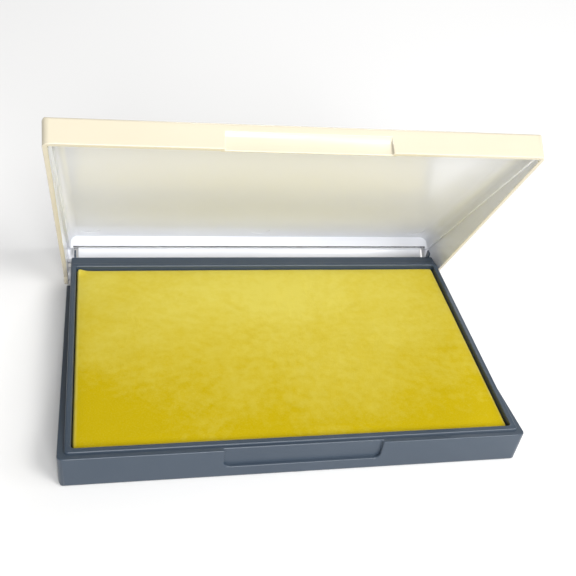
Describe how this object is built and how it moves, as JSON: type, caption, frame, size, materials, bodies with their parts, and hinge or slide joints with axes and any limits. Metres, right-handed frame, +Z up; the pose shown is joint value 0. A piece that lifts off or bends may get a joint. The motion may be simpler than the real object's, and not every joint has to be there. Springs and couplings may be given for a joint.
{
  "type": "ink pad",
  "caption": "Flat hinged plastic case holding a cloth-covered inked felt pad for rubber stamps; its lid swings open about a hinge at the back.",
  "frame": {"origin": "centre of the pad's footprint on the underside of the base", "axes": "+X along the hinge, -Y towards the front edge, +Z up out of the base"},
  "size_m": [0.1182, 0.089, 0.0733],
  "materials": {
    "base_plastic": "satin slate blue-grey moulded plastic",
    "lid_plastic": "ivory moulded plastic with a soft gloss",
    "cover_cloth": "yellow ink-soaked cover cloth",
    "felt": "ink-soaked felt",
    "board": "plain stiff board"
  },
  "bodies": {
    "base": {"base_case": "base_plastic", "backing_board": "board", "felt_core": "felt", "pad_cover": "cover_cloth"},
    "lid": {"lid_shell": "lid_plastic"}
  },
  "joints": [
    {"name": "lid_hinge", "type": "hinge", "parent": "base", "child": "lid", "pos_m": [0, 0.04, 0.0034], "axis": [-1, 0, 0], "range_deg": [-53.4, 42.8]}
  ]
}
